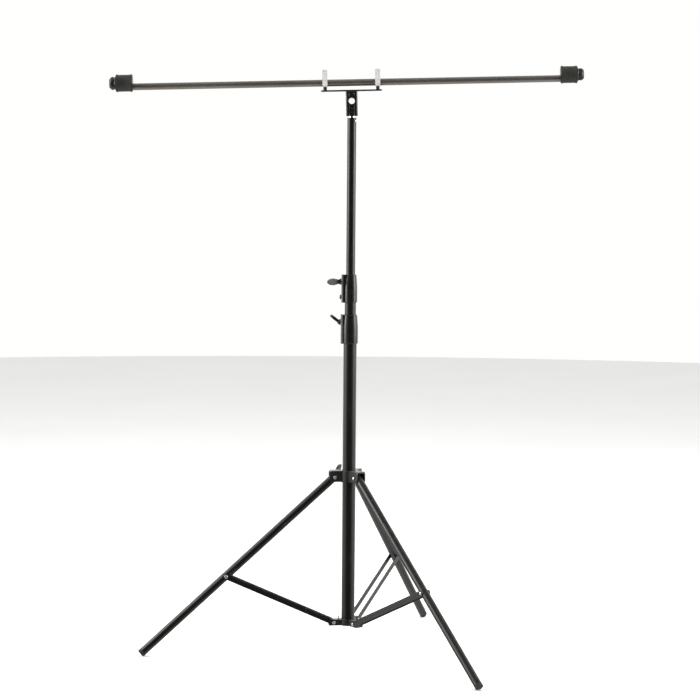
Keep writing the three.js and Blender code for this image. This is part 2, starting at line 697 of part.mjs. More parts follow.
// The foot is trimmed by the floor, which leaves a flat for it to stand on.
function legFoot() {
  const shoulder = FOOT_CAP - GAP - LEG_LENGTH;
  const plug = LEG_RADIUS - LEG_WALL - GAP;
  const body = turned(
    [
      [0, -LEG_LENGTH],
      [footRadius - FOOT_CHAMFER, -LEG_LENGTH],
      [footRadius, FOOT_CHAMFER - LEG_LENGTH],
      [footRadius, shoulder],
      [plug, shoulder],
      [plug, shoulder + FOOT_PLUG],
      [0, shoulder + FOOT_PLUG],
    ],
    LEG_FLATS,
  );
  const reach = LEG_LENGTH;
  const floor = box([-reach, -reach, -reach], [reach, reach, 0])
    .translate(0, 0, -yokePivotHeight)
    .rotateY(spread);
  return cut(body, floor);
}

// A flat strut strip in the XZ plane, from the collar's pivot to the leg. The head of
// the strut rivet stands on its outer face, towards +Y.
function strutStrip() {
  const end = STRUT_HALF_WIDTH;
  const outline = new THREE.Shape();
  outline.absarc(0, 0, end, Math.PI / 2, 1.5 * Math.PI);
  outline.absarc(strutLength, 0, end, -Math.PI / 2, Math.PI / 2);
  const strip = slabXZ(outline, STRUT_THICKNESS, 5);
  const halfStrip = STRUT_THICKNESS / 2;
  const [, ...dome] = domeOutline(RIVET_HEAD, RIVET_DOME, halfStrip, RIVET_FORM);
  const head = alongY(turned([[0, 0], [RIVET_HEAD, 0], ...dome], SMALL_FLATS));
  head.translate(strutLength, 0, 0);
  return cut(joined(strip, head), holeY(RIVET_HOLE, 2 * STRUT_THICKNESS));
}

function addLegAndStrut(parent, legName, legAngle) {
  const side = addGroup(parent, { turnZ: legAngle });

  const yokeSpan = 2 * (LEG_RADIUS + PLAY + YOKE_CHEEK + GAP);
  const pivot = rivet(yokeSpan).translate(PIVOT_RADIUS, 0, yokePivotHeight);
  addPiece(side, `leg_pivot_rivet_${legName}`, pivot, BRIGHT_STEEL);

  const leg = addGroup(side, { x: PIVOT_RADIUS, z: yokePivotHeight, turnY: -LEG_SPREAD });
  const strutPin = holeY(RIVET_RADIUS, 2 * LEG_RADIUS).translate(0, 0, -STRUT_REACH);
  addPiece(leg, `leg_tube_${legName}`, legTube(), BLACK_PAINT);
  addPiece(leg, `leg_foot_${legName}`, legFoot(), RUBBER);
  addPiece(leg, `strut_pin_${legName}`, strutPin, BRIGHT_STEEL);

  const strutSpan = 2 * (strutInside + STRUT_THICKNESS + GAP);
  const collarRivet = rivet(strutSpan).translate(PIVOT_RADIUS, 0, collarPivotHeight);
  addPiece(side, `strut_pivot_rivet_${legName}`, collarRivet, BRIGHT_STEEL);

  const strut = addGroup(side, { x: PIVOT_RADIUS, z: collarPivotHeight });
  const offset = strutInside + STRUT_THICKNESS / 2;
  const outer = strutStrip().rotateY(-strutSlope).translate(0, offset, 0);
  const inner = strutStrip().rotateX(Math.PI).rotateY(-strutSlope).translate(0, -offset, 0);
  addPiece(strut, `strut_strip_${legName}_a`, outer, BLACK_PAINT);
  addPiece(strut, `strut_strip_${legName}_b`, inner, BLACK_PAINT);
}

// ---- T head ---------------------------------------------------------------------

// Pieces of the head are drawn at their heights above the floor with the head upright.
// The head's group then leans them.
function headSocket() {
  const half = SOCKET_WIDTH / 2;
  const flat = SOCKET_FLAT / 2;
  const plan = new THREE.Shape();
  const corners = [[half, -flat], [half, flat], [flat, half], [-flat, half]];
  corners.forEach(([x, y], index) => (index ? plan.lineTo(x, y) : plan.moveTo(x, y)));
  corners.forEach(([x, y]) => plan.lineTo(-x, -y));
  const body = new THREE.ExtrudeGeometry(plan, { depth: SOCKET_HEIGHT, bevelEnabled: false });
  body.translate(0, 0, socketBase);

  const ribTop = socketBase + SOCKET_RIB.height;
  const face = -half - SOCKET_RIB.proud;
  const reach = SOCKET_RIB.width / 2;
  const uprights = [-1, 1].map((side) => {
    const x = (side * SOCKET_RIB.apart) / 2;
    return box([x - reach, face, socketBase], [x + reach, 0, socketTop]);
  });
  const bar = box(
    [-SOCKET_RIB.apart / 2, face, ribTop - SOCKET_RIB.width],
    [SOCKET_RIB.apart / 2, 0, ribTop],
  );
  const bore = rod(SOCKET_BORE, socketBase - 1, socketBase + SOCKET_BORE_DEPTH, LEG_FLATS);
  const crossHole = alongY(rod(CROSS_HOLE.radius, -SOCKET_WIDTH, SOCKET_WIDTH, LEG_FLATS));
  crossHole.translate(0, 0, socketBase + CROSS_HOLE.height);
  const lockHole = alongY(rod(WING_SHANK + GAP, 0, SOCKET_WIDTH, SMALL_FLATS));
  lockHole.translate(0, 0, socketBase + LOCK_SCREW_HEIGHT);
  return cut(joined(body, ...uprights, bar), bore, crossHole, lockHole);
}

function headPlate() {
  const { length, width, thickness, corner } = PLATE;
  const outline = roundedRectangle(-length / 2, -width / 2, length / 2, width / 2, corner);
  const options = { depth: thickness, bevelEnabled: false, curveSegments: 4 };
  const plate = new THREE.ExtrudeGeometry(outline, options).translate(0, 0, plateBase);
  const holes = [-1, 1].map((side) =>
    rod(CLIP_RIVET.hole, plateBase - 1, spacerBase + 1, SMALL_FLATS)
      .translate((side * CLIP_PITCH) / 2, 0, 0),
  );
  return cut(plate, ...holes);
}

// The right half of a clip's strip, along its middle line, from under the bar to its tip.
function clipHalfLine() {
  const base = clipBase + CLIP_THICKNESS / 2;
  const wall = CLIP_FLAT + CLIP_CORNER;
  const bend = new THREE.Path();
  bend.moveTo(0, base);
  bend.absarc(CLIP_FLAT, base + CLIP_CORNER, CLIP_CORNER, -Math.PI / 2, 0);
  bend.lineTo(wall, barHeight + CLIP_SHOULDER);
  bend.lineTo(CLIP_THROAT.half, barHeight + CLIP_THROAT.height);
  bend.lineTo(CLIP_TIP.half, barHeight + CLIP_TIP.height);
  return bend.getPoints(5);
}

// A line moved sideways by a distance, with mitred corners.
function offsetLine(points, distance) {
  return points.map((point, index) => {
    const before = points[Math.max(index - 1, 0)];
    const after = points[Math.min(index + 1, points.length - 1)];
    const into = new THREE.Vector2().subVectors(index ? point : after, index ? before : point);
    const out = new THREE.Vector2().subVectors(
      index < points.length - 1 ? after : point,
      index < points.length - 1 ? point : before,
    );
    const normal = into.normalize().add(out.normalize()).normalize();
    const mitre = distance / normal.dot(out);
    return new THREE.Vector2(point.x + normal.y * mitre, point.y - normal.x * mitre);
  });
}

function clip() {
  const right = clipHalfLine();
  const left = right.slice(1).map((point) => new THREE.Vector2(-point.x, point.y));
  const line = [...left.reverse(), ...right];
  const outline = [
    ...offsetLine(line, CLIP_THICKNESS / 2),
    ...offsetLine(line, -CLIP_THICKNESS / 2).reverse(),
  ];
  const shape = new THREE.Shape(outline);
  const strip = slabXZ(shape, CLIP_WIDTH).rotateZ(Math.PI / 2);
  const hole = turned(
    [
      [0, clipBase - 1],
      [CLIP_RIVET.hole, clipBase - 1],
      [CLIP_RIVET.hole, clipBase],
      [CLIP_RIVET.head + GAP, clipBase + CLIP_THICKNESS],
      [CLIP_RIVET.head + GAP, clipBase + 2 * CLIP_THICKNESS],
      [0, clipBase + 2 * CLIP_THICKNESS],
    ],
    SMALL_FLATS,
  );
  return cut(strip, hole);
}

// A countersunk rivet through the clip, the spacer and the plate.
function clipRivet() {
  const top = clipBase + CLIP_THICKNESS;
  return turned(
    [
      [0, plateBase],
      [CLIP_RIVET.radius, plateBase],
      [CLIP_RIVET.radius, clipBase],
      [CLIP_RIVET.head, top],
      [0, top],
    ],
    SMALL_FLATS,
  );
}

function addHead(parent) {
  const head = addGroup(parent, { z: headOrigin, turnY: -HEAD_LEAN });
  const upright = addGroup(head, { z: -headOrigin });
  addPiece(upright, "head_socket", headSocket(), BLACK_CASTING);
  addPiece(upright, "head_plate", headPlate(), BLACK_PAINT);

  const lock = addGroup(upright, { z: socketBase + LOCK_SCREW_HEIGHT, turnZ: 90 });
  const seat = SOCKET_WIDTH / 2 + GAP;
  const lockScrew = wingScrew(SPIGOT_RADIUS + PLAY, seat, HEAD_WING_TURN, HEAD_LEAF);
  addPiece(lock, "head_lock_screw", lockScrew, BLACK_PLASTIC);

  for (const [side, sign] of [["left", -1], ["right", 1]]) {
    const place = addGroup(upright, { x: (sign * CLIP_PITCH) / 2 });
    const spacerTop = spacerBase + SPACER.height;
    const spacer = tube(
      SPACER.radius, CLIP_RIVET.hole, spacerBase, spacerTop, SMALL_FLATS);
    addPiece(place, `spacer_${side}`, spacer, BLACK_PLASTIC);
    addPiece(place, `bar_clip_${side}`, clip(), BRIGHT_STEEL);
    addPiece(place, `clip_rivet_${side}`, clipRivet(), BRIGHT_STEEL);
  }
  addCrossbar(upright);
}

// ---- Crossbar -------------------------------------------------------------------

// Pieces of an end plug are drawn along +X from the middle of the bar, about the
// plug's own axis.
const barEnd = BAR_LENGTH / 2;
const sleeveEnd = barEnd + SLEEVE.beyondBar;
const sleeveStart = sleeveEnd - SLEEVE.length;
const sleeveBore = SLEEVE.radius - SLEEVE.wall;
const flangeEnd = sleeveEnd + FLANGE.length;

function rubberSleeve() {
  const rim = SLEEVE_RIM.radius;
  const waist = SLEEVE_RIM.width + SLEEVE_RIM.taper;
  return alongX(
    turned(
      [
        [sleeveBore, sleeveStart],
        [rim, sleeveStart],
        [rim, sleeveStart + SLEEVE_RIM.width],
        [SLEEVE.radius, sleeveStart + waist],
        [SLEEVE.radius, sleeveEnd - waist],
        [rim, sleeveEnd - SLEEVE_RIM.width],
        [rim, sleeveEnd],
        [sleeveBore, sleeveEnd],
        [sleeveBore, sleeveStart],
      ],
      TUBE_FLATS,
    ),
  );
}

// The core fills the sleeve and stops it with a lip. The bar ends in a socket below the
// core's axis, and the knob's stud threads into the core from outside.
function plugCore() {
  const lipFace = sleeveStart - GAP;
  const body = turned(
    [
      [0, lipFace - CORE.lip],
      [FLANGE.radius, lipFace - CORE.lip],
      [FLANGE.radius, lipFace],
      [sleeveBore - GAP, lipFace],
      [sleeveBore - GAP, sleeveEnd - CORE.recess],
      [0, sleeveEnd - CORE.recess],
    ],
    TUBE_FLATS,
  );
  const socket = rod(BAR_RADIUS + GAP, lipFace - CORE.lip - 1, barEnd + GAP, TUBE_FLATS);
  socket.translate(PLUG_LIFT, 0, 0);
  const thread = rod(STUD_HOLE, sleeveEnd - CORE.thread, sleeveEnd, SMALL_FLATS);
  return alongX(cut(body, socket, thread));
}

// The flange squeezes the sleeve. Its face sweeps down to the knob in a hollow curve.
function plugFlange() {
  const face = sleeveEnd + GAP;
  const sweep = [];
  const steps = 4;
  for (let step = 0; step <= steps; step += 1) {
    const angle = (step / steps) * (Math.PI / 2);
    sweep.push([
      FLANGE.radius - (FLANGE.radius - FLANGE.neck) * Math.sin(angle),
      flangeEnd - (flangeEnd - face - FLANGE.rim) * Math.cos(angle),
    ]);
  }
  return alongX(
    turned(
      [
        [STUD_HOLE, face],
        [FLANGE.radius, face],
        ...sweep,
        [STUD_HOLE, flangeEnd],
        [STUD_HOLE, face],
      ],
      LEG_FLATS,
    ),
  );
}

// A lobed knob on a threaded stud, turned about the plug's axis.
function plugKnob(turn) {
  const start = flangeEnd + GAP;
  const end = start + KNOB.length;
  const points = [];
  const count = KNOB.lobes * KNOB_FLATS;
  for (let index = 0; index < count; index += 1) {
    const angle = (index / count) * 2 * Math.PI;
    const radius = KNOB.radius + KNOB.lobe * Math.cos(KNOB.lobes * angle);
    points.push(new THREE.Vector2(radius * Math.cos(angle), radius * Math.sin(angle)));
  }
  const grip = new THREE.ExtrudeGeometry(new THREE.Shape(points), {
    depth: KNOB.length,
    bevelEnabled: false,
  }).translate(0, 0, start);
  const widest = KNOB.radius + KNOB.lobe + 1;
  const crown = turned(
    [
      [0, start - 1],
      [widest, start - 1],
      [widest, end - KNOB.chamfer],
      [KNOB.face, end],
      [0, end],
    ],
    LEG_FLATS,
  );
  const stud = rod(STUD.radius, start - STUD.length, start + 1, SMALL_FLATS);
  const lobed = geometryFrom(solidFrom(grip).intersect(solidFrom(crown)));
  return alongX(joined(lobed, stud)).rotateX(radians(turn));
}

function addCrossbar(parent) {
  const bar = addGroup(parent, { x: BAR_OFFSET, z: barHeight });
  const inner = BAR_RADIUS - BAR_WALL;
  const barTube = alongX(tube(BAR_RADIUS, inner, -barEnd, barEnd, TUBE_FLATS));
  addPiece(bar, "crossbar_tube", barTube, BROWN_BLACK);
  for (const [side, turn] of [["left", 180], ["right", 0]]) {
    const end = addGroup(bar, { z: PLUG_LIFT, turnZ: turn });
    addPiece(end, `rubber_sleeve_${side}`, rubberSleeve(), RUBBER);
    addPiece(end, `plug_flange_${side}`, plugFlange(), BLACK_PLASTIC);
    addPiece(end, `plug_core_${side}`, plugCore(), BLACK_PLASTIC);
    addPiece(end, `plug_knob_${side}`, plugKnob(KNOB_TURNS[side]), BLACK_PLASTIC);
  }
}

// ---- The stand ------------------------------------------------------------------

const stand = new THREE.Group();
stand.name = "backdrop_t_stand";
addColumn(stand);
addPiece(stand, "spigot", spigot(), BRIGHT_STEEL);
addPiece(stand, "spigot_rivet", spigotRivet(), BRIGHT_STEEL);
addYoke(stand);
LEG_NAMES.forEach((name, index) => addLegAndStrut(stand, name, FIRST_LEG_ANGLE + LEG_STEP * index));
addHead(stand);

export default stand;
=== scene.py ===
"""Looks of the folding backdrop T stand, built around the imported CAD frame."""

import json
import math

import bmesh
import bpy
from mathutils import Matrix, Vector

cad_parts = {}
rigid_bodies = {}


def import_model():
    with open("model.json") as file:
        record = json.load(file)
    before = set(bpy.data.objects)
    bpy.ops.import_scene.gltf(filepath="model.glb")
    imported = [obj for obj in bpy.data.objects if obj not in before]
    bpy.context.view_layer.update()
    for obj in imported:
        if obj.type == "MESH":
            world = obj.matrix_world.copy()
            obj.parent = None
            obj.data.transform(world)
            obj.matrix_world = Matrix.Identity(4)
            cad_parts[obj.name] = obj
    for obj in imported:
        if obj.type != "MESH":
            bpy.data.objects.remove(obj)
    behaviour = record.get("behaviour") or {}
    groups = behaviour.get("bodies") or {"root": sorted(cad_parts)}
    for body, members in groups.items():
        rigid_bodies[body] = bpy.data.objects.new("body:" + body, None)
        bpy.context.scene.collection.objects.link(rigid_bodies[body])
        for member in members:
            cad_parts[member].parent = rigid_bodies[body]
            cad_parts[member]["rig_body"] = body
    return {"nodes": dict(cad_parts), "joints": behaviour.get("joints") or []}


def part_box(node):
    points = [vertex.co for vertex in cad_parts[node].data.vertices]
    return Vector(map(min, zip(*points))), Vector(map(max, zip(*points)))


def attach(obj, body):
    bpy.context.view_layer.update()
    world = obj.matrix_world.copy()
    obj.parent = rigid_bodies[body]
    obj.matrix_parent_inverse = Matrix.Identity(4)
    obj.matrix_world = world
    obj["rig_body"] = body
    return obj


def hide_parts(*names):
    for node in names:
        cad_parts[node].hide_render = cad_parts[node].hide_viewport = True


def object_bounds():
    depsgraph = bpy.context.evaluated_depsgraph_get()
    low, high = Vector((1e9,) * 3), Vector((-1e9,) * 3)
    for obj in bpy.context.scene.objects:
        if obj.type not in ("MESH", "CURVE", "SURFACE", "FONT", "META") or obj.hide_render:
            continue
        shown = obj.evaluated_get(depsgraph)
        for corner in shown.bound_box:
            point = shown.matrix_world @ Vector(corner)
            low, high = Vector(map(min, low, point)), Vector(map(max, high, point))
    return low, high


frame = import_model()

MM = 0.001
LEGS = ("back", "left", "right")

cad_low, cad_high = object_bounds()


# ---------------------------------------------------------------- shader graphs

RANGE_SOCKETS = ("From Min", "From Max", "To Min", "To Max")


class Finish:
    """A Principled material whose node links are written as short calls."""

    def __init__(self, name):
        self.material = bpy.data.materials.new(name)
        self.material.use_nodes = True
        self.tree = self.material.node_tree
        self.tree.nodes.clear()
        self.surface = self.node("ShaderNodeBsdfPrincipled")
        output = self.node("ShaderNodeOutputMaterial")
        self.join(self.surface.outputs["BSDF"], output.inputs["Surface"])
        self.place = self.node("ShaderNodeTexCoord").outputs["Object"]
        self.height = None

    def node(self, kind):
        return self.tree.nodes.new(kind)

    def join(self, source, target):
        self.tree.links.new(source, target)

    def put(self, source, target):
        """Links a socket, or sets a plain value."""
        if isinstance(source, bpy.types.NodeSocket):
            self.join(source, target)
        else:
            target.default_value = source

    def noise(self, size, detail=3.0, longer=1, along=(0, 0, 1)):
        """Noise from 0 to 1 in features size metres wide, and longer times that along a line."""
        turn = Vector((0, 0, 1)).rotation_difference(Vector(along))
        mapping = self.node("ShaderNodeMapping")
        mapping.vector_type = "TEXTURE"
        mapping.inputs["Rotation"].default_value = turn.to_euler()
        mapping.inputs["Scale"].default_value = (1, 1, longer)
        self.join(self.place, mapping.inputs["Vector"])
        noise = self.node("ShaderNodeTexNoise")
        noise.inputs["Scale"].default_value = 1 / size
        noise.inputs["Detail"].default_value = detail
        self.join(mapping.outputs["Vector"], noise.inputs["Vector"])
        return noise.outputs["Fac"]

    def span(self, value, low, high, start, end):
        """value mapped from low..high to start..end, and held there."""
        spread = self.node("ShaderNodeMapRange")
        self.join(value, spread.inputs["Value"])
        for socket, number in zip(RANGE_SOCKETS, (low, high, start, end)):
            spread.inputs[socket].default_value = number
        return spread.outputs["Result"]

    def math(self, operation, a, b):
        maths = self.node("ShaderNodeMath")
        maths.operation = operation
        self.put(a, maths.inputs[0])
        self.put(b, maths.inputs[1])
        return maths.outputs["Value"]

    def mix(self, share, a, b):
        """Colour a where share is 0, colour b where it is 1."""
        blend = self.node("ShaderNodeMix")
        blend.data_type = "RGBA"
        self.put(share, blend.inputs["Factor"])
        self.put(colour(a), blend.inputs["A"])
        self.put(colour(b), blend.inputs["B"])
        return blend.outputs["Result"]

    def facing_up(self):
        """1 on faces that look up, 0 on the others: where dust settles, and where the castings get their
        painted top light.
        """
        split = self.node("ShaderNodeSeparateXYZ")
        self.join(self.node("ShaderNodeNewGeometry").outputs["Normal"], split.inputs["Vector"])
        return self.span(split.outputs["Z"], 0.3, 0.95, 0.0, 1.0)

    def raise_by(self, value, depth, strength):
        """Adds a bump layer depth metres high."""
        bump = self.node("ShaderNodeBump")
        bump.inputs["Distance"].default_value = depth
        bump.inputs["Strength"].default_value = strength
        self.join(value, bump.inputs["Height"])
        if self.height is not None:
            self.join(self.height, bump.inputs["Normal"])
        self.height = bump.outputs["Normal"]
        self.join(self.height, self.surface.inputs["Normal"])

    def set(self, **sockets):
        """Fills the surface's sockets, such as base_color for Base Color."""
        for name, value in sockets.items():
            title = name.replace("_", " ").title().replace("Ior", "IOR")
            self.put(value, self.surface.inputs[title])
        return self


def colour(value):
    """A node socket as it is, or linear RGB with alpha added."""
    return value if isinstance(value, bpy.types.NodeSocket) else (*value, 1.0)


# ---------------------------------------------------------------- finishes

BARE_STEEL = (0.42, 0.41, 0.39)
# Pale grey of settled dust; the castings' painted top light uses it too.
DUST_AND_TOP_LIGHT = (0.16, 0.15, 0.13)
LENGTHWISE = 60  # how much longer than wide a draw mark is


def gloss_paint(name, shade, warmth, roughness, wear, along=(0, 0, 1), metallic=0.0):
    """Satin paint on drawn tube: draw marks along it, orange peel, settled dust and rubbed spots."""
    finish = Finish(name)
    broad = finish.noise(0.11, 2.0)
    fine = finish.noise(1.1 * MM, 2.0)
    marks = finish.noise(1.3 * MM, 3.0, LENGTHWISE, along)
    body = finish.mix(finish.span(broad, 0.35, 0.65, 0.0, 1.0), shade, warmth)
    dust = finish.span(finish.noise(9 * MM, 4.0), 0.45, 0.75, 0.0, 0.15)
    body = finish.mix(finish.math("MULTIPLY", finish.facing_up(), dust), body, DUST_AND_TOP_LIGHT)
    handled = finish.span(broad, 0.5, 0.7, 0.0, wear)
    scuffs = finish.math("MULTIPLY", finish.span(marks, 0.66, 0.74, 0.0, 1.0), handled)
    body = finish.mix(scuffs, body, BARE_STEEL)
    peel = finish.span(fine, 0.3, 0.7, roughness - 0.04, roughness + 0.05)
    shine = finish.math("ADD", peel, finish.span(marks, 0.45, 0.75, 0.0, 0.12))
    finish.raise_by(fine, 0.03 * MM, 0.35)
    finish.raise_by(marks, 0.01 * MM, 0.2)
    return finish.set(base_color=body, roughness=shine, metallic=metallic, ior=1.5)


def cast_metal(name, shade, light, roughness):
    """Powder-coated die casting: a pebbled coat with dust in its grain, small pits, and top faces painted
    paler, partly as dust and partly as painted top light.
    """
    finish = Finish(name)
    pebble = finish.noise(0.9 * MM, 3.0)
    pits = finish.noise(2.4 * MM, 1.0)
    broad = finish.noise(22 * MM, 3.0)
    body = finish.mix(finish.span(broad, 0.35, 0.7, 0.0, 1.0), shade, light)
    body = finish.mix(finish.span(pebble, 0.62, 0.75, 0.0, 0.35), body, DUST_AND_TOP_LIGHT)
    # Painted top light: top faces painted part of the way to the pale dust grey, partly dust and partly
    # the light from above.
    paler_on_top = finish.math("MULTIPLY", finish.facing_up(), finish.span(broad, 0.4, 0.7, 0.15, 0.6))
    body = finish.mix(paler_on_top, body, DUST_AND_TOP_LIGHT)
    finish.raise_by(pebble, 0.12 * MM, 0.6)
    finish.raise_by(finish.span(pits, 0.2, 0.36, 0.0, 1.0), 0.1 * MM, 0.5)
    shine = finish.span(pebble, 0.3, 0.7, roughness - 0.08, roughness + 0.1)
    return finish.set(base_color=body, roughness=shine)


def clamp_metal(name, shade, light, roughness, barrel):
    """Die-cast tube clamp: a barrel of radius barrel polished by hands, and a boss with a coarse, rougher
    pebbled surface, painted pale grey as a painted highlight.
    """
    finish = Finish(name)
    level = finish.node("ShaderNodeVectorMath")
    level.operation = "MULTIPLY"
    level.inputs[1].default_value = (1, 1, 0)
    finish.join(finish.place, level.inputs[0])
    from_axis = finish.node("ShaderNodeVectorMath")
    from_axis.operation = "LENGTH"
    finish.join(level.outputs["Vector"], from_axis.inputs[0])
    boss = finish.span(from_axis.outputs["Value"], barrel, barrel + SKIN_FADE, 0.0, 1.0)
    pebble = finish.noise(1.0 * MM, 3.0)
    broad = finish.noise(18 * MM, 3.0)
    body = finish.mix(finish.span(broad, 0.35, 0.7, 0.0, 1.0), shade, light)
    # Painted highlight: the boss is painted pale grey in place of the light its flat face catches; its
    # roughness and relief are real.
    boss_painted_highlight = finish.mix(finish.span(pebble, 0.4, 0.7, 0.0, 1.0), PAINTED_BOSS_HIGHLIGHT, PAINTED_BOSS_HIGHLIGHT_PALE)
    relief = finish.math("MULTIPLY", pebble, finish.span(boss, 0.0, 1.0, 0.25, 1.0))
    finish.raise_by(relief, 0.12 * MM, 0.5)
    smooth = finish.span(pebble, 0.3, 0.7, roughness - 0.05, roughness + 0.08)
    shine = finish.math("ADD", smooth, finish.math("MULTIPLY", boss, 0.3))
    return finish.set(base_color=finish.mix(boss, body, boss_painted_highlight), roughness=shine)


def moulded(name, shade, light, roughness, grain):
    """Moulded plastic or rubber: spark-eroded grain, faint flow marks and dust in the grain."""
    finish = Finish(name)
    texture = finish.noise(grain, 2.0)
    flow = finish.noise(14 * MM, 4.0, 3)
    body = finish.mix(finish.span(flow, 0.35, 0.7, 0.0, 1.0), shade, light)
    paler_on_top = finish.math("MULTIPLY", finish.span(texture, 0.5, 0.75, 0.0, 0.2), finish.facing_up())
    body = finish.mix(paler_on_top, body, DUST_AND_TOP_LIGHT)
    finish.raise_by(texture, 0.08 * MM, 0.5)
    shine = finish.span(flow, 0.3, 0.7, roughness - 0.06, roughness + 0.08)
    return finish.set(base_color=body, roughness=shine)


def bare_metal(name, shade, dull, roughness, brushed=1):
    """Plated or turned metal: hairlines and tarnish in patches."""
    finish = Finish(name)
    hairlines = finish.noise(0.25 * MM, 2.0, brushed)
    patches = finish.noise(7 * MM, 5.0)
    body = finish.mix(finish.span(patches, 0.45, 0.75, 0.0, 0.8), shade, dull)
    polish = finish.span(hairlines, 0.3, 0.7, roughness - 0.05, roughness + 0.06)
    shine = finish.math("ADD", polish, finish.span(patches, 0.45, 0.8, 0.0, 0.2))
    finish.raise_by(hairlines, 0.02 * MM, 0.3)
    return finish.set(base_color=body, roughness=shine, metallic=1.0)


def worn_edge(name, coat, metal, share):
    """A coated edge with the coat rubbed through in places."""
    finish = Finish(name)
    rubbed = finish.span(finish.noise(3 * MM, 5.0), 0.62 - share, 0.72 - share, 0.0, 0.75)
    finish.raise_by(finish.noise(0.8 * MM, 2.0), 0.06 * MM, 0.4)
    body = finish.mix(rubbed, coat, metal)
    shine = finish.span(rubbed, 0.0, 1.0, 0.45, 0.3)
    return finish.set(base_color=body, roughness=shine, metallic=rubbed)


def middle(node):
    """The middle of a CAD node's box."""
    low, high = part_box(node)
    return (low + high) / 2


def leg_run(leg):
    """The direction from a leg's pivot to its foot."""
    return (middle(f"leg_foot_{leg}") - middle(f"leg_pivot_rivet_{leg}")).normalized()


CHARCOAL = (0.009, 0.0085, 0.0075)
CHARCOAL_LIGHT = (0.016, 0.015, 0.0128)
INK = (0.0036, 0.0035, 0.0027)
INK_WARM = (0.0058, 0.0052, 0.0038)
BROWN = (0.185, 0.168, 0.152)
BROWN_LIGHT = (0.225, 0.207, 0.19)
PLASTIC = (0.0045, 0.0043, 0.0036)
PLASTIC_LIGHT = (0.0085, 0.008, 0.0068)
RUBBER = (0.0125, 0.0125, 0.0098)
RUBBER_LIGHT = (0.021, 0.0205, 0.0165)
# Painted highlight: pale greys for the clamp bosses' flat faces, standing in for the light they catch.
PAINTED_BOSS_HIGHLIGHT = (0.078, 0.071, 0.062)
PAINTED_BOSS_HIGHLIGHT_PALE = (0.105, 0.097, 0.086)
BARREL = 22.4 * MM  # radius of a clamp, past which its boss stands out
SKIN_FADE = 0.8 * MM
STEEL = (0.66, 0.66, 0.65)
STEEL_DULL = (0.42, 0.41, 0.39)
PLATED = (0.86, 0.86, 0.85)
PLATED_DULL = (0.66, 0.65, 0.62)
BRASS = (0.62, 0.44, 0.17)
BRASS_DULL = (0.34, 0.23, 0.1)
DRAWN = 30  # how much longer than wide a hairline is

FINISHES = {
    "column_paint": gloss_paint("column_paint_finish", INK, INK_WARM, 0.3, 0.5),
    "leg_paint": gloss_paint("leg_paint_finish", INK_WARM, INK, 0.34, 0.7),
    "crossbar_paint": gloss_paint("crossbar_paint_finish", BROWN, BROWN_LIGHT, 0.36, 0.3, (1, 0, 0), 0.8),
    "clamp_casting": clamp_metal("clamp_casting_finish", INK, CHARCOAL, 0.28, BARREL),
    "casting": cast_metal("casting_finish", CHARCOAL, CHARCOAL_LIGHT, 0.36),
    "head_casting": cast_metal("head_casting_finish", INK, CHARCOAL, 0.34),
    "plastic": moulded("plastic_finish", PLASTIC, PLASTIC_LIGHT, 0.45, 0.7 * MM),
    "knob_plastic": moulded("knob_plastic_finish", PLASTIC_LIGHT, RUBBER, 0.5, 0.8 * MM),
    "foot_rubber": moulded("foot_rubber_finish", RUBBER, RUBBER_LIGHT, 0.75, 1.1 * MM),
    "sleeve_rubber": moulded("sleeve_rubber_finish", RUBBER, RUBBER_LIGHT, 0.7, 0.9 * MM),
    "polished_steel": bare_metal("polished_steel_finish", PLATED, PLATED_DULL, 0.16),
    "clip_steel": bare_metal("clip_steel_finish", PLATED, PLATED_DULL, 0.28, DRAWN).set(metallic=0.25),
    "rivet_steel": bare_metal("rivet_steel_finish", STEEL, STEEL_DULL, 0.3),
    "screw_black": cast_metal("screw_black_finish", INK, CHARCOAL, 0.35),
    "brass": bare_metal("brass_finish", BRASS, BRASS_DULL, 0.3),
}
for leg in LEGS:
    own = f"leg_paint_{leg}"
    FINISHES[own] = gloss_paint(f"{own}_finish", INK_WARM, INK, 0.3, 0.6, leg_run(leg))
PAINT_EDGE = worn_edge("paint_edge", INK_WARM, BARE_STEEL, 0.08)
CAST_EDGE = worn_edge("cast_edge", CHARCOAL_LIGHT, BARE_STEEL, 0.16)
PLASTIC_EDGE = worn_edge("plastic_edge", PLASTIC_LIGHT, RUBBER_LIGHT, 0.2)
EDGES = {
    "column_paint": PAINT_EDGE,
    "leg_paint": PAINT_EDGE,
    "crossbar_paint": PAINT_EDGE,
    "casting": CAST_EDGE,
    "head_casting": CAST_EDGE,
    "screw_black": CAST_EDGE,
    "plastic": PLASTIC_EDGE,
    "knob_plastic": PLASTIC_EDGE,
}


# ---------------------------------------------------------------- CAD nodes

WELD = 0.002 * MM
FLAT_WITHIN = math.radians(0.6)
SOFTENED_OVER = math.radians(38)
EDGE_WIDTHS = {
    "casting": 0.8 * MM,
    "head_casting": 0.6 * MM,
    "plastic": 0.7 * MM,
    "knob_plastic": 0.7 * MM,
    "foot_rubber": 0.6 * MM,
    "sleeve_rubber": 0.5 * MM,
    "leg_paint": 0.3 * MM,
}
NARROW_EDGE = 0.25 * MM
EDGE_SEGMENTS = 3


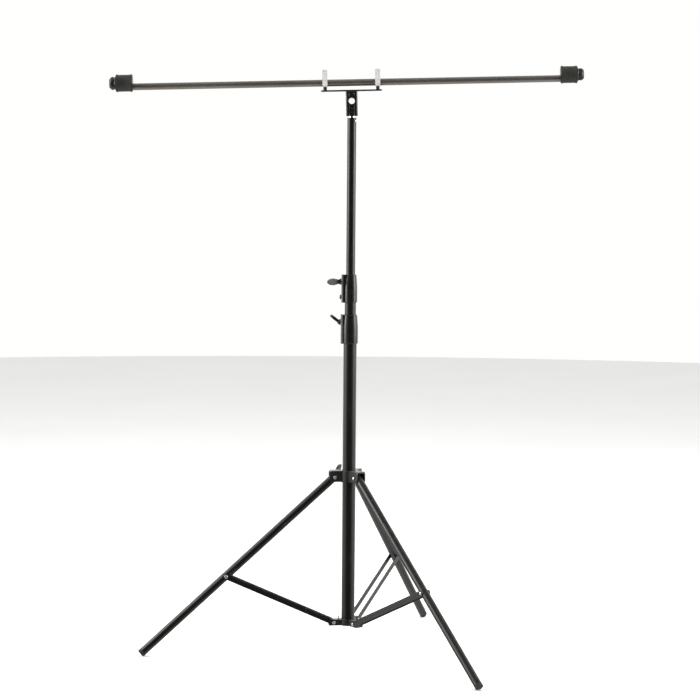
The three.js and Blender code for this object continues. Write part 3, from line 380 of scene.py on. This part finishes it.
def soften(piece, width, edge_slot):
    """Rounds the piece's edges, and shades the rest of it smooth."""
    mesh = piece.data
    if "custom_normal" in mesh.attributes:
        mesh.attributes.remove(mesh.attributes["custom_normal"])
    mesh.polygons.foreach_set("use_smooth", [True] * len(mesh.polygons))
    weld = piece.modifiers.new("weld", "WELD")
    weld.merge_threshold = WELD
    flatten = piece.modifiers.new("flatten", "DECIMATE")
    flatten.decimate_type = "DISSOLVE"
    flatten.angle_limit = FLAT_WITHIN
    bevel = piece.modifiers.new("soften", "BEVEL")
    bevel.width = width
    bevel.segments = EDGE_SEGMENTS
    bevel.limit_method = "ANGLE"
    bevel.angle_limit = SOFTENED_OVER
    bevel.use_clamp_overlap = True
    bevel.harden_normals = True
    bevel.material = edge_slot


# Nodes whose finish isn't the one of their slot.
OWN_FINISH = {"lower_clamp": "clamp_casting", "upper_clamp": "clamp_casting"}
OWN_FINISH.update({f"leg_tube_{leg}": f"leg_paint_{leg}" for leg in LEGS})


def finish_nodes():
    """Gives every CAD node its finish, with the slot's worn finish on its rounded edges."""
    for node in frame["nodes"].values():
        slot = node.data.materials[0].name
        node.data.materials[0] = FINISHES[OWN_FINISH.get(node.name, slot)].material
        edge = EDGES.get(slot)
        if edge:
            node.data.materials.append(edge.material)
        soften(node, EDGE_WIDTHS.get(slot, NARROW_EDGE), 1 if edge else 0)


# ---------------------------------------------------------------- rivets

ROUND = 40  # sides of a spun piece
HEAD_HEIGHT = 2 * MM
# A head from its seat to its middle: shares of its radius and of its height.
HEAD_OUTLINE = (
    (1.0, 0.0),
    (1.0, 0.22),
    (0.96, 0.42),
    (0.84, 0.66),
    (0.64, 0.86),
    (0.4, 0.97),
    (0.3, 0.98),
    (0.22, 0.86),
    (0.0, 0.84),
)
SHANK_SHARE = 0.6  # of the head's radius
CAP_RADIUS = 4.6 * MM
CAP_OVER = 0.08 * MM  # how far a cap stands off the CAD head it covers


def spun(name, profile, centre, axis, slot, body):
    """A solid of revolution. profile holds (radius, height along the axis) from end to end."""
    mesh = bpy.data.meshes.new(name)
    shape = bmesh.new()
    line = [shape.verts.new((radius, 0, height)) for radius, height in profile]
    edges = [shape.edges.new(pair) for pair in zip(line, line[1:])]
    bmesh.ops.spin(
        shape,
        geom=line + edges,
        cent=(0, 0, 0),
        axis=(0, 0, 1),
        angle=2 * math.pi,
        steps=ROUND,
        use_duplicate=False,
    )
    bmesh.ops.remove_doubles(shape, verts=shape.verts, dist=WELD)
    bmesh.ops.recalc_face_normals(shape, faces=shape.faces)
    for face in shape.faces:
        face.smooth = True
    turn = Vector((0, 0, 1)).rotation_difference(Vector(axis)).to_matrix().to_4x4()
    bmesh.ops.transform(shape, matrix=Matrix.Translation(centre) @ turn, verts=shape.verts)
    shape.to_mesh(mesh)
    shape.free()
    mesh.materials.append(FINISHES[slot].material)
    piece = bpy.data.objects.new(name, mesh)
    bpy.context.scene.collection.objects.link(piece)
    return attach(piece, body)


def reach(node, centre, axis):
    """The node's lowest and highest points along an axis through centre."""
    along = [(vertex.co - centre).dot(axis) for vertex in frame["nodes"][node].data.vertices]
    return min(along), max(along)


def girth(node, centre, axis):
    """The node's greatest radius round an axis through centre."""
    arms = [vertex.co - centre for vertex in frame["nodes"][node].data.vertices]
    return max((arm - axis * arm.dot(axis)).length for arm in arms)


def head_profile(radius, seat, height):
    """The outline of a head whose seat is at a height along its axis."""
    return [(radius * share, seat + height * rise) for share, rise in HEAD_OUTLINE]


def joint_axis(name):
    joint = next(joint for joint in frame["joints"] if joint["name"] == name)
    return Vector(joint["axis"]).normalized()


def spun_rivet(node, axis, body):
    """A rivet with a head at each end, in place of the CAD node."""
    centre = middle(node)
    low, high = reach(node, centre, axis)
    radius = girth(node, centre, axis)
    top = head_profile(radius, high - HEAD_HEIGHT, HEAD_HEIGHT)
    shank = [(radius * SHANK_SHARE, height) for height in (high - HEAD_HEIGHT, low + HEAD_HEIGHT)]
    mirrored = head_profile(radius, -low - HEAD_HEIGHT, HEAD_HEIGHT)
    bottom = [(width, -height) for width, height in mirrored]
    profile = top[::-1] + shank + bottom
    piece = spun(node + "_spun", profile, centre, axis, "rivet_steel", body)
    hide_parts(node)


def strut_caps(leg):
    """Bright heads over the ends of the rivet that joins a strut's two strips to its leg."""
    axis = joint_axis(f"leg_{leg}_fold")
    centre = middle(f"strut_pin_{leg}")
    for strip in "ab":
        low, high = reach(f"strut_strip_{leg}_{strip}", centre, axis)
        side = 1 if high > -low else -1
        end = max(high, -low)
        seat = end - HEAD_HEIGHT - CAP_OVER / 2
        profile = head_profile(CAP_RADIUS, seat, HEAD_HEIGHT + CAP_OVER)
        rim = [(0.0, profile[0][1]), *profile]
        spun(f"strut_cap_{leg}_{strip}", rim, centre, axis * side, "rivet_steel", f"strut_{leg}")


def rivet_work():
    for leg in LEGS:
        axis = joint_axis(f"leg_{leg}_fold")
        for node in (f"leg_pivot_rivet_{leg}", f"strut_pivot_rivet_{leg}"):
            spun_rivet(node, axis, frame["nodes"][node]["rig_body"])
        strut_caps(leg)


# ---------------------------------------------------------------- studio

CAMERA_BACK = 6.4945  # from the column, along -Y
CAMERA_UP = 1.3716
CAMERA_TILT = 4.91  # degrees below the horizon
CAMERA_ROLL = 0.46
SENSOR = 36  # millimetres, as the lens
LENS = 126.47
CLIP_END = 200


def place_camera():
    data = bpy.data.cameras.new("camera")
    data.sensor_width = SENSOR
    data.lens = LENS
    data.clip_end = CLIP_END
    camera = bpy.data.objects.new("camera", data)
    tilt = Matrix.Rotation(math.radians(90 - CAMERA_TILT), 4, "X")
    roll = Matrix.Rotation(math.radians(CAMERA_ROLL), 4, "Z")
    camera.matrix_world = Matrix.Translation((0, -CAMERA_BACK, CAMERA_UP)) @ tilt @ roll
    bpy.context.scene.collection.objects.link(camera)
    bpy.context.scene.camera = camera


FLOOR_RADIUS = 9
FLOOR_SIDES = 96
FLOOR_BELOW = 0.2 * MM  # under the feet
PALE = (0.9, 0.9, 0.89)
PALER = (0.92, 0.92, 0.91)


def lay_floor():
    mesh = bpy.data.meshes.new("floor")
    shape = bmesh.new()
    bmesh.ops.create_circle(shape, cap_ends=True, segments=FLOOR_SIDES, radius=FLOOR_RADIUS)
    shape.to_mesh(mesh)
    shape.free()
    floor = bpy.data.objects.new("floor", mesh)
    floor.location.z = cad_low.z - FLOOR_BELOW
    bpy.context.scene.collection.objects.link(floor)
    paper = Finish("floor_paper")
    tone = paper.mix(paper.span(paper.noise(0.6, 2.0), 0.3, 0.7, 0.0, 1.0), PALE, PALER)
    mesh.materials.append(paper.set(base_color=tone, roughness=0.9).material)
    floor.visible_glossy = False  # the world's lower half stands for its reflection


WORLD_WHITE = (1.0, 1.0, 0.99)
SIDES_BRIGHT = 1.7
FRONT_DARK = 0.06
FLOOR_GLOW = 0.95
BELOW_LEVEL = 0.4  # share of the walls' light left below the horizon
CEILING = 0.25  # share of it left straight above
# How far a direction points back (the first) or up (the others) where each light changes.
FRONT_FADE = (-0.8, -0.3)
LEVEL_FADE = (-0.25, 0.0)
CEILING_FADE = (0.5, 0.85)
FLOOR_FADE = (-0.75, -0.4)


class Sky:
    """The world's shader graph, whose inputs are the directions it is looked up in."""

    def __init__(self, tree):
        self.tree = tree
        split = tree.nodes.new("ShaderNodeSeparateXYZ")
        tree.links.new(tree.nodes.new("ShaderNodeTexCoord").outputs["Generated"], split.inputs["Vector"])
        self.back, self.up = split.outputs["Y"], split.outputs["Z"]

    def fade(self, value, between, start, end):
        """start below the first of between, end above the second, and smooth on the way."""
        node = self.tree.nodes.new("ShaderNodeMapRange")
        node.interpolation_type = "SMOOTHSTEP"
        self.tree.links.new(value, node.inputs["Value"])
        for socket, number in zip(RANGE_SOCKETS, (*between, start, end)):
            node.inputs[socket].default_value = number
        return node.outputs["Result"]

    def math(self, operation, a, b):
        node = self.tree.nodes.new("ShaderNodeMath")
        node.operation = operation
        self.tree.links.new(a, node.inputs[0])
        self.tree.links.new(b, node.inputs[1])
        return node.outputs["Value"]


def light_world():
    """A white studio: bright behind and beside, dim above and in front, with a glowing floor."""
    world = bpy.data.worlds.new("studio")
    world.use_nodes = True
    background = world.node_tree.nodes["Background"]
    background.inputs["Color"].default_value = (*WORLD_WHITE, 1.0)
    sky = Sky(world.node_tree)
    round_about = sky.fade(sky.back, FRONT_FADE, FRONT_DARK, SIDES_BRIGHT)
    level = sky.fade(sky.up, LEVEL_FADE, BELOW_LEVEL, 1.0)
    ceiling = sky.fade(sky.up, CEILING_FADE, 1.0, CEILING)
    under = sky.fade(sky.up, FLOOR_FADE, FLOOR_GLOW, 0.0)
    walls = sky.math("MULTIPLY", round_about, sky.math("MULTIPLY", level, ceiling))
    lit = sky.math("MAXIMUM", walls, under)
    plain = world.node_tree.nodes.new("ShaderNodeMix")
    plain.inputs["B"].default_value = 1.0
    seen = world.node_tree.nodes.new("ShaderNodeLightPath").outputs["Is Camera Ray"]
    world.node_tree.links.new(seen, plain.inputs["Factor"])
    world.node_tree.links.new(lit, plain.inputs["A"])
    world.node_tree.links.new(plain.outputs["Result"], background.inputs["Strength"])
    bpy.context.scene.world = world


def add_softbox(name, place, target, width, height, power):
    data = bpy.data.lights.new(name, "AREA")
    data.shape = "RECTANGLE"
    data.size = width
    data.size_y = height
    data.energy = power
    lamp = bpy.data.objects.new(name, data)
    lamp.location = place
    lamp.rotation_euler = (Vector(target) - Vector(place)).to_track_quat("-Z", "Y").to_euler()
    bpy.context.scene.collection.objects.link(lamp)
    return lamp


AIM = (0, 0, 0.9)
SIDE_OUT = 3.4
SIDE_FRONT = -0.6
SIDE_UP = 1.9
SIDE_SIZE = (1.2, 2.4)
SIDE_POWER = 90
TOP_PLACE = (0, 0.4, 4.2)
TOP_SIZE = (3.0, 3.0)
TOP_POWER = 150


def light_studio():
    light_world()
    for name, side in (("softbox_left", -1), ("softbox_right", 1)):
        add_softbox(name, (side * SIDE_OUT, SIDE_FRONT, SIDE_UP), AIM, *SIDE_SIZE, SIDE_POWER)
    overhead = add_softbox("overhead", TOP_PLACE, AIM, *TOP_SIZE, TOP_POWER)
    overhead.visible_glossy = False  # it lights the floor without a stripe along the crossbar
    bpy.context.scene.view_settings.view_transform = "Standard"


finish_nodes()
rivet_work()
place_camera()
lay_floor()
light_studio()
